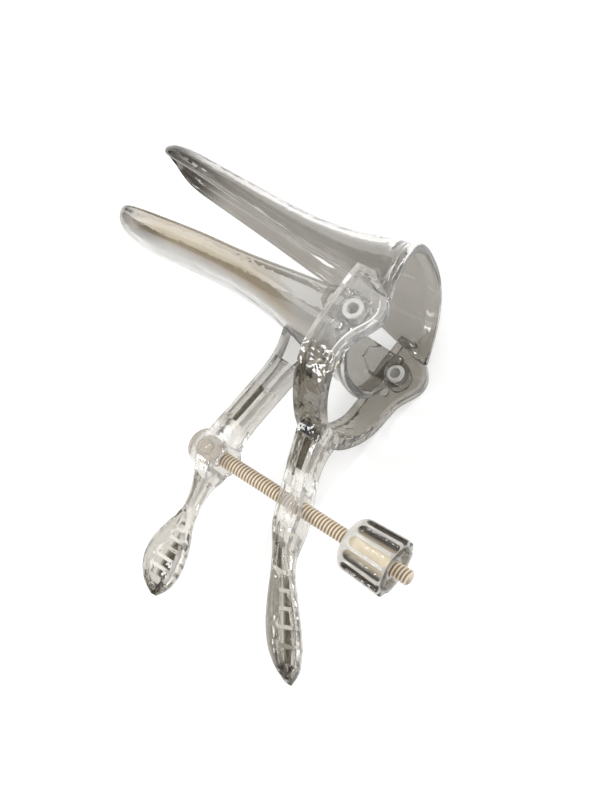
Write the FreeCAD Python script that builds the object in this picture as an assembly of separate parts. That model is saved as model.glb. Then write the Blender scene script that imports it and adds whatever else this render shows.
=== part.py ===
"""Bivalve speculum: lower valve with front handle, upper valve with yoke and rear handle,
two hollow hinge pins, a threaded rod with a trunnion barrel, and a thumb nut.

Shapes are drawn round the hinge axis (x away from the handles, y along the lower blade
towards its tip, z along the hinge axis) and moved to the row frame at the end.
"""
import math
import os

import FreeCAD
import Part

V = FreeCAD.Vector

# Driving dimensions, mm
wall = 1.8                      # blade and funnel wall
bead_r = 1.25                   # rounded edge along the lips
typical_run = 38.0              # length of a blade section from lip to lip
half_width = 29.0               # yoke's raised rims, and the row's resting plane
arm_outer = 27.5                # outer face of a yoke arm
arm_thick = 2.8
arm_inner = arm_outer - arm_thick
rim_width = 1.9                 # raised rim along the yoke's edges
ear_outer = 24.2                # outer face of the lower valve's ear
ear_thick = 2.3
ear_inner = ear_outer - ear_thick
ear_r = 5.0
pin_r = 2.95                    # hinge pin shank
pin_bore_r = 1.8
pin_head_r = 3.4
pin_collar_r = pin_r + 0.3      # snap collar inside the ear
run_clearance = 0.06            # radial, of a pin or stud in its bore and of the rod in the nut
bore_reach = 40.0               # half length of the cylinder that bores both ears
rod_r = 2.5
rod_core_r = 2.1
rod_pitch = 1.2
rod_x = -56.2                   # rod axis
trunnion_y = 28.2
rod_end_y = -49.3
barrel_r = 3.9
barrel_half = 3.7
stud_r = 2.2
stud_end = 5.5
fork_half = 7.2                 # outer half width of the fork that holds the barrel
fork_gap = 4.0
boss_r = 6.2                    # rounded boss of the fork
nut_face_y = -44.0
nut_shoulder_y = -29.6
nut_nose_y = -26.9
nut_r_outer = 9.5               # radius at the free end
nut_r_inner = 8.8               # radius at the shoulder
flute_r = 2.1                   # radius of the tool that the flutes follow
flute_depth = 1.1
nut_wall = 2.3                  # from the ribs' tops to the hollow
nut_webs = 6
nut_bore_r = rod_r + run_clearance
nut_ribs = 12                   # ribs left between the flutes
slot_half = rod_r + 1.2         # slot half width along z
blade_close = 11.5              # degrees from rest
blade_open = 18.0
web_half = 1.2                  # centre web of the handles
handle_step = 4.5               # spacing of the handles' sections
keel_rim = 0.8                  # edge of the front pad beside the ladder pockets
ladder_bar = 1.1
ladder_start = -76.5            # first pocket of the front grip's ladder
ladder_pocket = 2.1
rear_ladder_start = -76.0
rear_pocket = 3.3
rear_pocket_tilt = 0.35
panel_rim = 1.9                 # rims of the handles' side panels
row_shift = V(6.0, -6.9, half_width)


def spline(points, marks=None):
    """Edge of a smooth curve through points. Sections of one loft share their marks along the curve."""
    curve = Part.BSplineCurve()
    if marks:
        curve.interpolate(Points=[V(*p) for p in points], Parameters=marks)
    else:
        curve.interpolate([V(*p) for p in points])
    return curve.toShape()


def even_marks(count):
    return [i / (count - 1) for i in range(count)]


def line(a, b):
    return Part.makeLine(V(*a), V(*b))


def polygon(points):
    """Face of a closed polygon."""
    pts = [V(*p) for p in points]
    return Part.Face(Part.makePolygon(pts + [pts[0]]))


def slab(xy, z0, z1):
    """Outline in x and y, extruded from z0 to z1."""
    return polygon([(x, y, z0) for x, y in xy]).extrude(V(0, 0, z1 - z0))


def smooth_slab(front, rear, z0, z1):
    """Outline between two smooth edges with straight ends, extruded from z0 to z1."""
    a = spline([(x, y, z0) for x, y in front])
    b = spline([(x, y, z0) for x, y in rear])
    wire = Part.Wire(Part.__sortEdges__([
        a, b,
        line((front[0][0], front[0][1], z0), (rear[0][0], rear[0][1], z0)),
        line((front[-1][0], front[-1][1], z0), (rear[-1][0], rear[-1][1], z0))]))
    return Part.Face(wire).extrude(V(0, 0, z1 - z0))


def mirrored(shape):
    return shape.mirror(V(0, 0, 0), V(0, 0, 1))


def fuse_all(shapes):
    out = shapes[0].multiFuse(shapes[1:])
    return out.removeSplitter()


def arch_points(lip_y, crown_y, lip_x, crown_x, half_w, count=21, square=2.5):
    """Points of one cross-section from lip to lip over the crown."""
    pts = []
    for i in range(count):
        t = math.pi * i / (count - 1)
        c, s = math.cos(t), max(math.sin(t), 0.0)
        z = half_w * math.copysign(abs(c) ** (2 / square), c)
        f = s ** (2 / square)
        x = lip_x + (crown_x - lip_x) * f
        y = lip_y + (crown_y - lip_y) * f
        pts.append((x, y, z))
    return pts


def arch_wire(station, inset=0.0, extend=0.0):
    """Closed section wire of the filled trough, used to trim what joins it from outside."""
    lip_y, crown_y, lip_x, crown_x, half_w = station
    way = 1 if crown_x > lip_x else -1
    lean = (crown_y - lip_y) / (crown_x - lip_x)
    low_x = lip_x - way * extend
    low_y = lip_y - way * extend * lean
    pts = arch_points(low_y, crown_y, low_x, crown_x - way * inset, half_w - inset)
    return Part.Wire([spline(pts, even_marks(len(pts))), line(pts[-1], pts[0])])


def section_stops(total, scale):
    """Distances along a section at which its wall is set out, close together at both lips."""
    edge = [scale * d for d in (0.0, 0.55, 1.1, 1.7, 2.5, 3.6, 5.2)]
    inner_count = 9
    stops = list(edge)
    for i in range(1, inner_count + 1):
        stops.append(edge[-1] + (total - 2 * edge[-1]) * i / (inner_count + 1))
    return stops + [total - d for d in reversed(edge)]


def shell_wire(station, thick):
    """Closed section of the wall itself: outer curve, rounded lip, inner curve, rounded lip."""
    lip_y, crown_y, lip_x, crown_x, half_w = station
    way = 1 if crown_x > lip_x else -1
    depth = abs(crown_x - lip_x)
    thick = min(thick, 0.55 * min(half_w, depth))
    bulge = (bead_r - wall / 2) * min(1.0, max(0.0, (half_w - 3.5) / 5)) if thick <= wall else 0.0
    lip = lip_x + way * min(bead_r, 0.5 * thick + bulge)
    square = 2.0 + 0.5 * min(1.0, max(0.0, (half_w - 4.0) / 6.0))
    dense = arch_points(0.0, 0.0, lip, crown_x - way * thick / 2, half_w - thick / 2, 361, square)
    run = [0.0]
    for (x0, _, z0), (x1, _, z1) in zip(dense, dense[1:]):
        run.append(run[-1] + math.hypot(x1 - x0, z1 - z0))
    total = run[-1]
    scale = min(1.0, total / 16.0)
    stops = section_stops(total, scale)
    marks = [d / typical_run for d in section_stops(typical_run, 1.0)]
    lean = (crown_y - lip_y) / (crown_x - lip_x)

    def place(x, z):
        return (x, lip_y + (x - lip_x) * lean, z)

    outer, inner = [], []
    k = 0
    for stop in stops:
        while k < len(run) - 2 and run[k + 1] < stop:
            k += 1
        (x0, _, z0), (x1, _, z1) = dense[k], dense[k + 1]
        span = run[k + 1] - run[k]
        f = (stop - run[k]) / span
        x, z = x0 + (x1 - x0) * f, z0 + (z1 - z0) * f
        tx, tz = (x1 - x0) / span, (z1 - z0) / span
        if stop <= 0.0:
            tx, tz = way, 0.0
        elif stop >= total:
            tx, tz = -way, 0.0
        near = min(stop, total - stop) / scale
        off = thick / 2 + bulge * math.exp(-(near / 1.25) ** 2)
        # Normal that points out of the trough
        nx, nz = -tz * way, tx * way
        outer.append(place(x + way * nx * off, z + way * nz * off))
        inner.append(place(x - way * nx * off, z - way * nz * off))
    end_off = thick / 2 + bulge
    low = [place(lip - way * end_off, half_w - thick / 2), place(lip - way * end_off, thick / 2 - half_w)]

    def round_end(a, mid, b):
        return Part.Arc(V(*a), V(*mid), V(*b)).toShape()

    return Part.Wire([spline(outer, marks), round_end(outer[-1], low[1], inner[-1]),
                      spline(inner[::-1], marks), round_end(inner[0], low[0], outer[0])])


def trough(stations):
    """Blade and funnel half as a wall of even thickness with rounded lips and a rolled mouth rim."""
    wires = [shell_wire(s, wall) for s in stations[1:]]
    lip_y, crown_y, lip_x, crown_x, half_w = stations[-1]
    prev = stations[-2]
    slope_x = (crown_x - prev[3]) / (prev[1] - crown_y)
    slope_w = (half_w - prev[4]) / (prev[0] - lip_y)
    for ahead, thick in ((1.0, 2.3), (2.0, 2.9), (3.0, 3.0), (3.8, 2.5), (4.3, 1.5)):
        grow = (thick - wall) / 2
        way = 1 if crown_x > lip_x else -1
        wires.append(shell_wire((lip_y - ahead, crown_y - ahead, lip_x,
                                 crown_x + way * grow + slope_x * min(ahead, 2.0),
                                 half_w + grow + slope_w * min(ahead, 2.0)), thick))
    # The blade's closed, rounded nose
    nose = Part.makeLoft([arch_wire(stations[2], 0.55, -0.4), arch_wire(stations[1], 0.12, -0.1),
                          arch_wire(stations[0])], True, False)
    return Part.makeLoft(wires, True, False), nose


def filled(stations, inset):
    """The trough and its hollow as one body, its outside moved in by inset."""
    mouth = stations[-1]
    past = (mouth[0] - 8.0, mouth[1] - 8.0) + mouth[2:]
    return Part.makeLoft([arch_wire(s, inset, 6.0) for s in stations[-8:] + [past]], True, False)


# Cross-sections: y at the lip, y at the crown, x at the lip, x at the crown, half width
upper_stations = [
    (117.6, 117.6, 28.8, 31.2, 3.0), (116.7, 116.7, 28.1, 31.7, 5.2),
    (114.7, 114.7, 27.2, 32.1, 7.7), (111.5, 111.5, 25.9, 32.6, 10.2),
    (107.0, 107.0, 24.9, 32.8, 12.1), (101.0, 101.0, 24.1, 32.8, 13.1),
    (92.0, 92.0, 23.0, 32.3, 13.6), (80.0, 80.0, 21.4, 31.5, 13.8),
    (68.0, 68.0, 19.7, 30.7, 13.8), (56.0, 56.0, 17.9, 30.0, 13.9),
    (46.0, 46.0, 16.5, 29.6, 14.4), (37.0, 37.0, 15.4, 29.7, 15.4),
    (29.0, 29.2, 14.4, 30.1, 17.0), (21.0, 21.8, 13.2, 30.9, 19.0),
    (13.0, 15.2, 11.8, 32.0, 21.2), (6.5, 10.2, 10.3, 32.9, 23.0),
    (1.5, 7.0, 9.2, 33.5, 24.2), (-2.3, 4.6, 8.2, 34.0, 25.0)]
lower_stations = [
    (117.9, 117.9, 0.9, -1.6, 3.0), (117.0, 117.0, 1.3, -2.9, 5.2),
    (115.0, 115.0, 1.8, -4.2, 7.7), (111.8, 111.8, 2.2, -5.6, 10.1),
    (107.0, 107.0, 2.5, -6.4, 12.0), (101.0, 101.0, 2.8, -6.6, 13.0),
    (92.0, 92.0, 3.4, -6.1, 13.5), (80.0, 80.0, 4.2, -5.5, 13.7),
    (68.0, 68.0, 4.8, -5.2, 13.7), (57.0, 57.0, 5.1, -5.5, 13.8),
    (47.0, 47.0, 5.6, -6.5, 14.2), (38.0, 38.0, 6.1, -8.0, 15.0),
    (30.0, 30.0, 6.4, -9.8, 16.2), (22.0, 22.0, 6.5, -11.8, 17.9),
    (14.0, 13.8, 6.4, -13.7, 19.8), (8.5, 8.2, 6.2, -15.0, 21.1),
    (4.4, 4.0, 6.0, -15.8, 22.0)]

# Handle outlines in side view, (x, y)
rear_front = [(-30.5, 7.0), (-38.0, 5.2), (-44.0, 3.4), (-49.2, 1.5), (-57.0, -1.5), (-63.0, -3.6),
              (-69.0, -7.0), (-75.0, -10.5), (-84.8, -16.0), (-91.0, -20.2), (-95.2, -24.2),
              (-98.0, -28.2), (-99.6, -31.6), (-100.4, -34.0)]
rear_back = [(-30.5, -3.4), (-38.0, -4.0), (-45.8, -5.8), (-52.0, -8.5), (-57.4, -11.0),
             (-63.0, -12.8), (-67.0, -13.7), (-71.0, -15.6), (-75.3, -19.0), (-80.0, -23.5),
             (-84.3, -27.7), (-89.7, -32.3), (-94.0, -35.0), (-97.4, -36.3), (-100.4, -36.4)]
# Half widths of a handle: at the keel along its front pad, and at its rear edge
rear_half = [(-30.5, 8.6), (-36.0, 7.4), (-42.0, 6.4), (-47.5, 6.4), (-58.0, 6.6), (-67.0, 6.2),
             (-72.0, 4.7), (-78.0, 4.8), (-84.0, 5.8), (-90.0, 6.3), (-95.0, 5.8), (-98.4, 4.2),
             (-100.4, 1.6)]
rear_edge = [(-30.5, 8.6), (-36.0, 7.0), (-42.0, 6.0), (-47.5, 6.2), (-58.0, 6.4), (-67.0, 5.8),
             (-72.0, 4.0), (-78.0, 3.2), (-84.0, 3.0), (-90.0, 3.0), (-95.0, 2.8), (-100.4, 1.2)]
# Depth of the convex front pad, measured rearward from the front
rear_pad = [(-30.5, 1.0), (-48.0, 1.2), (-60.0, 1.6), (-68.0, 2.2), (-76.0, 4.0), (-84.0, 5.6),
            (-92.0, 5.8), (-97.0, 3.8), (-100.4, 1.1)]
front_front = [(-9.5, 31.0), (-16.0, 29.2), (-22.7, 28.9), (-32.0, 30.0), (-40.7, 31.2),
               (-50.5, 32.2), (-57.0, 32.0), (-63.6, 29.4), (-70.0, 27.2), (-76.0, 26.4),
               (-80.0, 27.2), (-84.2, 28.4), (-90.0, 29.2), (-95.0, 28.2), (-99.4, 25.4),
               (-102.0, 22.2), (-103.5, 19.2)]
front_back = [(-9.5, 13.0), (-14.0, 16.4), (-19.9, 19.6), (-26.4, 20.8), (-36.0, 22.2),
              (-46.0, 23.6), (-53.0, 24.0), (-60.0, 23.2), (-66.0, 23.0), (-71.3, 22.7),
              (-75.1, 21.8), (-79.0, 20.7), (-85.0, 17.4), (-91.0, 15.2), (-97.0, 14.5),
              (-101.0, 15.4), (-103.5, 17.0)]
front_half = [(-9.5, 6.0), (-20.0, 5.6), (-44.0, 5.8), (-50.0, 7.2), (-62.0, 7.2), (-66.0, 5.0),
              (-72.0, 3.6), (-77.0, 3.6), (-84.0, 5.4), (-91.0, 6.2), (-97.0, 5.6), (-101.0, 3.8),
              (-103.5, 1.4)]
front_edge = [(-9.5, 5.6), (-20.0, 5.0), (-44.0, 5.2), (-50.0, 7.0), (-62.0, 7.0), (-66.0, 4.4),
              (-72.0, 3.0), (-77.0, 2.4), (-84.0, 2.3), (-91.0, 2.3), (-97.0, 2.2), (-103.5, 1.0)]
front_pad = [(-9.5, 1.0), (-44.0, 1.0), (-52.0, 1.6), (-62.0, 1.8), (-68.0, 1.6), (-76.0, 2.4),
             (-82.0, 5.0), (-88.0, 6.4), (-94.0, 6.2), (-99.0, 4.4), (-103.5, 1.0)]


def smooth(table, x):
    """Value at x on the smooth curve through a table of pairs ordered by falling x."""
    last = len(table) - 1
    for i in range(last):
        (x0, y0), (x1, y1) = table[i], table[i + 1]
        if x0 >= x >= x1:
            before, after = table[max(i - 1, 0)], table[min(i + 2, last)]
            m0 = (y1 - before[1]) / (x1 - before[0]) * (x1 - x0)
            m1 = (after[1] - y0) / (after[0] - x0) * (x1 - x0)
            t = (x - x0) / (x1 - x0)
            return ((2 * t ** 3 - 3 * t ** 2 + 1) * y0 + (t ** 3 - 2 * t ** 2 + t) * m0
                    + (3 * t ** 2 - 2 * t ** 3) * y1 + (t ** 3 - t ** 2) * m1)
    return table[0][1] if x > table[0][0] else table[-1][1]


def handle_section(front_y, back_y, half, edge, pad, x):
    """Closed section of a handle: domed front pad, flanks that close in towards the rear edge."""
    keel = front_y - pad
    dome = []
    for i in range(9):
        a = math.pi * (i / 8 - 0.5)
        dome.append((x, keel + pad * math.cos(a), half * math.sin(a)))
    dome[0], dome[-1] = (x, keel, -half), (x, keel, half)
    low = back_y + min(0.5 * edge, 0.4)
    rear = Part.Arc(V(x, low, edge), V(x, back_y, 0.0), V(x, low, -edge)).toShape()
    return Part.Wire([spline(dome, even_marks(len(dome))), line(dome[-1], (x, low, edge)), rear,
                      line((x, low, -edge), dome[0])])


def beam(front, back, halves, edges, pads):
    """Solid handle lofted from sections across x."""
    start, end = front[0][0], front[-1][0]
    tip = end + 5.0
    count = int((start - tip) / handle_step)
    places = [start + (tip - start) * i / count for i in range(count + 1)]
    places += [end + d for d in (3.2, 1.8, 0.8, 0.2, 0.0)]
    wires = [handle_section(smooth(front, x), smooth(back, x), smooth(halves, x), smooth(edges, x),
                            smooth(pads, x), x) for x in places]
    return Part.makeLoft(wires, True, False)


def pocket(front, back, x0, x1, front_rim, back_rim, depth_half, tilt=0.0):
    """Both side pockets of a handle between x0 and x1, leaving rims and a centre web.

    front_rim is a table over x or one depth. tilt leans the pocket's ends towards +x at the rear.
    """
    steps = max(2, int(abs(x1 - x0) / 2.5) + 1)
    a, b = [], []
    for i in range(steps):
        x = x0 + (x1 - x0) * i / (steps - 1)
        lean_f = math.atan(abs(smooth(front, x + 1) - smooth(front, x - 1)) / 2)
        lean_b = math.atan(abs(smooth(back, x + 1) - smooth(back, x - 1)) / 2)
        if isinstance(front_rim, list):
            keel = smooth(front, x) - smooth(front_rim, x) - keel_rim / math.cos(lean_f)
        else:
            keel = smooth(front, x) - front_rim / math.cos(lean_f)
        low = smooth(back, x) + back_rim / math.cos(lean_b)
        reach = tilt * (keel - low)
        a.append((x, keel))
        b.append((x + reach, smooth(back, x + reach) + back_rim / math.cos(lean_b)))
    cut = slab(a + b[::-1], depth_half, 14.0)
    return [cut, mirrored(cut)]


def yoke_arch(extra):
    """Arch of the yoke in x and z, deep in y. extra thickens its outer face."""
    curve = [(-11.0, 27.5), (-16.5, 26.7), (-21.5, 24.3), (-26.0, 20.0), (-30.0, 14.0),
             (-33.0, 7.0), (-34.2, 0.0)]
    n = len(curve) - 1
    def grow(amount):
        pts = []
        for i, (x, z) in enumerate(curve):
            x0, z0 = curve[max(i - 1, 0)]
            x1, z1 = curve[min(i + 1, n)]
            dx, dz = x1 - x0, z1 - z0
            if i == n:
                dx, dz = 0.0, -1.0
            if i == 0:
                dx, dz = -1.0, 0.0
            size = math.hypot(dx, dz)
            pts.append((x + amount * dz / size, z - amount * dx / size))
        return pts
    out_pts, in_pts = grow(extra), grow(-arm_thick)
    y0 = -14.0
    def half(sign):
        a = spline([(x, y0, sign * z) for x, z in out_pts])
        b = spline([(x, y0, sign * z) for x, z in in_pts])
        zo, zi = sign * (arm_outer + extra), sign * arm_inner
        edges = [a, b, line((-11.0, y0, zo), (17.0, y0, zo)), line((17.0, y0, zo), (17.0, y0, zi)),
                 line((17.0, y0, zi), (-11.0, y0, zi)),
                 line((out_pts[-1][0], y0, 0.0), (in_pts[-1][0], y0, 0.0))]
        return Part.Face(Part.Wire(Part.__sortEdges__(edges))).extrude(V(0, 26, 0))
    return half(1).fuse(half(-1))


def yoke_side(inset):
    """Side outline of the yoke's arm and ear, extruded across the whole width."""
    distal = [(13.2, 7.2), (9.0, 7.7), (4.0, 8.0), (-5.0, 8.2), (-14.0, 8.0), (-22.4, 7.2),
              (-29.0, 6.6), (-36.0, 6.2)]
    proximal = [(13.2, 0.6), (11.4, -1.6), (9.4, -4.8), (6.4, -7.8), (3.0, -9.2), (-0.4, -9.0),
                (-4.0, -7.2), (-8.0, -4.9), (-13.0, -3.8), (-20.0, -3.5), (-28.0, -3.5),
                (-36.0, -3.6)]
    if inset:
        distal = [(min(x, 13.2 - inset), y - inset) for x, y in distal[1:]]
        distal = [(13.2 - inset, distal[0][1] - 0.1)] + [p for p in distal if p[0] < 13.2 - inset - 0.5]
        shrunk = []
        for i, (x, y) in enumerate(proximal):
            x0, y0 = proximal[max(i - 1, 0)]
            x1, y1 = proximal[min(i + 1, len(proximal) - 1)]
            dx, dy = x1 - x0, y1 - y0
            size = math.hypot(dx, dy)
            shrunk.append((x + inset * dy / size, y - inset * dx / size))
        proximal = [(13.2 - inset, shrunk[0][1])] + [p for p in shrunk if p[0] < 13.2 - inset - 0.5]
    return smooth_slab(distal, proximal, -34.0, 34.0)


def slot_solid():
    """Union of the rod's envelopes at several blade angles, square across z."""
    out = []
    steps = 9
    for i in range(steps + 1):
        deg = -blade_close - 0.4 + (blade_close + blade_open + 0.8) * i / steps
        a = math.radians(deg)
        strip = Part.makeBox(2 * slot_half, 44.0, 2 * slot_half, V(rod_x - slot_half, -34.0, -slot_half))
        strip.rotate(V(0, 0, 0), V(0, 0, 1), deg)
        out.append(strip)
    return out[0].multiFuse(out[1:]).removeSplitter()


def make_lower():
    shell, nose = trough(lower_stations)
    hollow = filled(lower_stations, wall * 0.5)
    # Ears with a shoulder that runs into the funnel wall
    ear = Part.makeCylinder(ear_r, ear_thick, V(0, 0, ear_inner))
    tab = slab([(4.6, -1.5), (6.2, 3.0), (6.2, 9.0), (4.6, 14.0), (-0.6, 13.6), (-4.4, 9.0),
                (-4.8, 1.0)], ear_inner, ear_outer)
    shoulder = slab([(5.6, 5.0), (5.6, 9.0), (3.8, 13.0), (-0.8, 13.0), (-3.8, 9.0), (-3.8, 5.0)],
                    17.5, ear_outer)
    solids = []
    for piece in (ear, tab, shoulder):
        solids += [piece, mirrored(piece)]
    handle = beam(front_front, front_back, front_half, front_edge, front_pad)
    # Panels of the leg, then the ladder of the grip
    cuts = pocket(front_front, front_back, -19.0, -44.2, panel_rim, panel_rim, web_half)
    cuts += pocket(front_front, front_back, -65.0, -74.6, 1.6, 1.6, web_half)
    x = ladder_start
    while x > ladder_start - 21.0:
        cuts += pocket(front_front, front_back, x, x - ladder_pocket, front_pad, 1.7, web_half)
        x -= ladder_pocket + ladder_bar
    handle = handle.cut(Part.makeCompound(cuts))
    boss = Part.makeCylinder(boss_r, 2 * fork_half, V(rod_x, trunnion_y, -fork_half))
    handle = handle.fuse(boss)
    room_r = barrel_r + 0.5
    bore_half = stud_end + 0.2
    gap = Part.makeCylinder(room_r, 2 * fork_gap, V(rod_x, trunnion_y, -fork_gap))
    mouth = Part.makeBox(2 * room_r, 20.0, 2 * fork_gap, V(rod_x - room_r, trunnion_y - 20.0, -fork_gap))
    holes = Part.makeCylinder(stud_r + run_clearance, 2 * bore_half, V(rod_x, trunnion_y, -bore_half))
    # Lead-in slots that the studs snap through, narrower than the studs
    lead_half = 0.85 * stud_r
    lead = Part.makeBox(2 * lead_half, 20.0, 2 * bore_half,
                        V(rod_x - lead_half, trunnion_y - 20.0, -bore_half))
    solids.append(handle)
    body = shell.multiFuse([nose] + [piece.cut(hollow) for piece in solids])
    pins = Part.makeCylinder(pin_r + run_clearance, 2 * bore_reach, V(0, 0, -bore_reach))
    # Inside the ears, room for the pins' snap collars
    collars = Part.makeCylinder(pin_collar_r + 0.15, 2 * ear_inner, V(0, 0, -ear_inner))
    body = body.cut([pins, collars, gap, mouth, holes, lead])
    return body.removeSplitter()


def make_upper():
    shell, nose = trough(upper_stations)
    hollow = filled(upper_stations, wall * 0.5)
    arch = yoke_arch(0.0)
    thick = yoke_arch(half_width - arm_outer)
    side = yoke_side(0.0)
    plate = arch.common(side)
    rims = thick.common(side.cut(yoke_side(rim_width)))
    boss = Part.makeCylinder(4.5, half_width - arm_outer + 0.3, V(0, 0, arm_outer - 0.5))
    peg = Part.makeCylinder(1.6, half_width - arm_outer + 0.2, V(-6.4, 2.0, arm_outer - 0.5))
    handle = beam(rear_front, rear_back, rear_half, rear_edge, rear_pad)
    cuts = pocket(rear_front, rear_back, -36.5, -46.6, panel_rim, panel_rim, web_half)
    cuts += pocket(rear_front, rear_back, -69.5, -74.6, panel_rim, panel_rim, web_half)
    x = rear_ladder_start
    while x > rear_ladder_start - 18.0:
        cuts += pocket(rear_front, rear_back, x, x - rear_pocket, rear_pad, 1.5, web_half, rear_pocket_tilt)
        x -= rear_pocket + 0.9 * ladder_bar
    # Shallow side panels beside the slot
    cuts += pocket(rear_front, rear_back, -49.4, -66.6, 2.0, 2.0, 5.2)
    handle = handle.cut(Part.makeCompound(cuts)).cut(slot_solid())
    body = shell.multiFuse([nose, plate.cut(hollow), rims, boss, mirrored(boss), peg, mirrored(peg), handle])
    # Room for the lower valve's ears inside the yoke
    ears = Part.makeCylinder(ear_r + 0.5, 2 * arm_inner, V(0, 0, -arm_inner))
    pins = Part.makeCylinder(pin_r, 2 * bore_reach, V(0, 0, -bore_reach))
    body = body.cut([ears, pins])
    return body.removeSplitter()


def make_pin():
    """Near hinge pin: head outside the yoke's ear, snap collar inside the lower valve's ear."""
    inner, outer = ear_inner - 1.0, half_width
    profile = [(pin_bore_r, inner), (pin_r - 0.25, inner), (pin_collar_r, inner + 0.7),
               (pin_r, inner + 0.7), (pin_r, arm_outer + 0.4), (pin_head_r, arm_outer + 0.4),
               (pin_head_r, outer - 0.35), (pin_head_r - 0.35, outer), (pin_bore_r + 0.3, outer),
               (pin_bore_r, outer - 0.3)]
    face = polygon([(r, 0.0, z) for r, z in profile])
    return face.revolve(V(0, 0, 0), V(0, 0, 1), 360)


def make_rod():
    """Threaded rod along y with a barrel and two studs at its inner end."""
    start = trunnion_y - barrel_r - 1.2
    turns = int((start - rod_end_y - 1.6) / rod_pitch)
    profile = [(0.0, rod_end_y), (rod_core_r, rod_end_y), (rod_r - 0.05, rod_end_y + 0.5)]
    y = rod_end_y + 0.8
    flat = 0.22 * rod_pitch
    for _ in range(turns):
        profile += [(rod_r, y), (rod_r, y + flat), (rod_core_r, y + rod_pitch / 2),
                    (rod_core_r, y + rod_pitch / 2 + flat * 0.8)]
        y += rod_pitch
    profile += [(rod_r, y), (rod_r, trunnion_y - 1.0), (0.0, trunnion_y - 1.0)]
    face = polygon([(r, yy, 0.0) for r, yy in profile])
    shank = face.revolve(V(0, 0, 0), V(0, 1, 0), 360)
    shank.translate(V(rod_x, 0, 0))
    barrel = Part.makeCylinder(barrel_r, 2 * barrel_half, V(rod_x, trunnion_y, -barrel_half))
    studs = Part.makeCylinder(stud_r, 2 * stud_end, V(rod_x, trunnion_y, -stud_end))
    return fuse_all([shank, barrel, studs])


def make_nut():
    """Fluted thumb nut with a domed nose, hollow from its free end and stiffened by webs."""
    crown = spline([(nut_r_inner, nut_shoulder_y - 1.8, 0.0), (nut_r_inner - 0.5, nut_shoulder_y - 0.6, 0.0),
                    (5.9, nut_shoulder_y + 0.5, 0.0), (4.2, nut_shoulder_y + 1.6, 0.0),
                    (3.1, nut_nose_y, 0.0)])
    edges = [crown, line((3.1, nut_nose_y, 0.0), (0.0, nut_nose_y, 0.0)),
             line((0.0, nut_nose_y, 0.0), (0.0, nut_face_y, 0.0)),
             line((0.0, nut_face_y, 0.0), (nut_r_outer, nut_face_y, 0.0)),
             line((nut_r_outer, nut_face_y, 0.0), (nut_r_inner, nut_shoulder_y - 1.8, 0.0))]
    body = Part.Face(Part.Wire(Part.__sortEdges__(edges))).revolve(V(0, 0, 0), V(0, 1, 0), 360)
    # Flutes with round ends, parallel to the tapered side
    flutes = []
    length = nut_shoulder_y - nut_face_y
    lean = math.degrees(math.atan((nut_r_outer - nut_r_inner) / length))
    reach = nut_r_inner + flute_r - flute_depth
    tip_y = nut_shoulder_y - 2.6
    for i in range(nut_ribs):
        bar = Part.makeCylinder(flute_r, 20.0, V(reach, tip_y, 0.0), V(0, -1, 0))
        ball = Part.makeSphere(flute_r, V(reach, tip_y, 0.0))
        tool = bar.fuse(ball)
        tool.rotate(V(reach, tip_y, 0.0), V(0, 0, 1), lean)
        tool.rotate(V(0, 0, 0), V(0, 1, 0), 360.0 * (i + 0.5) / nut_ribs)
        flutes.append(tool)
    room = Part.makeCone(nut_r_outer - nut_wall, nut_r_inner - nut_wall + 0.15, 10.5,
                         V(0, nut_face_y, 0), V(0, 1, 0))
    keep = [Part.makeCylinder(3.9, 10.0, V(0, nut_face_y + 0.5, 0), V(0, 1, 0))]
    for i in range(nut_webs):
        web = Part.makeBox(nut_r_outer, 9.0, 1.0, V(0, nut_face_y + 1.5, -0.5))
        web.rotate(V(0, 0, 0), V(0, 1, 0), 360.0 * i / nut_webs)
        keep.append(web)
    room = room.cut(keep[0].multiFuse(keep[1:]))
    bore = Part.makeCylinder(nut_bore_r, 40.0, V(0, nut_face_y - 5.0, 0), V(0, 1, 0))
    body = body.cut(Part.makeCompound(flutes)).cut(room).cut(bore)
    body.translate(V(rod_x, 0, 0))
    return body.removeSplitter()


def build():
    near_pin = make_pin()
    return {
        "lower_valve": make_lower(),
        "upper_valve": make_upper(),
        "hinge_pin_near": near_pin,
        "hinge_pin_far": mirrored(near_pin),
        "threaded_rod": make_rod(),
        "thumb_nut": make_nut(),
    }


os.makedirs("parts", exist_ok=True)
for name, shape in build().items():
    solids = shape.Solids
    solid = max(solids, key=lambda s: s.Volume)
    solid.translate(row_shift)
    print(name, "solids", len(solids), "valid", solid.isValid(), "volume", round(solid.Volume, 1),
          "box", [round(v, 2) for v in (solid.BoundBox.XMin, solid.BoundBox.XMax, solid.BoundBox.YMin,
                                        solid.BoundBox.YMax, solid.BoundBox.ZMin, solid.BoundBox.ZMax)])
    solid.exportStep("parts/" + name + ".step")
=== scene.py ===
"""Looks of the bivalve speculum: clear moulded valves, an ivory threaded rod and a clear thumb nut."""
import logging
import math
from dataclasses import dataclass, field
from enum import Enum
from typing import Any

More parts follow.
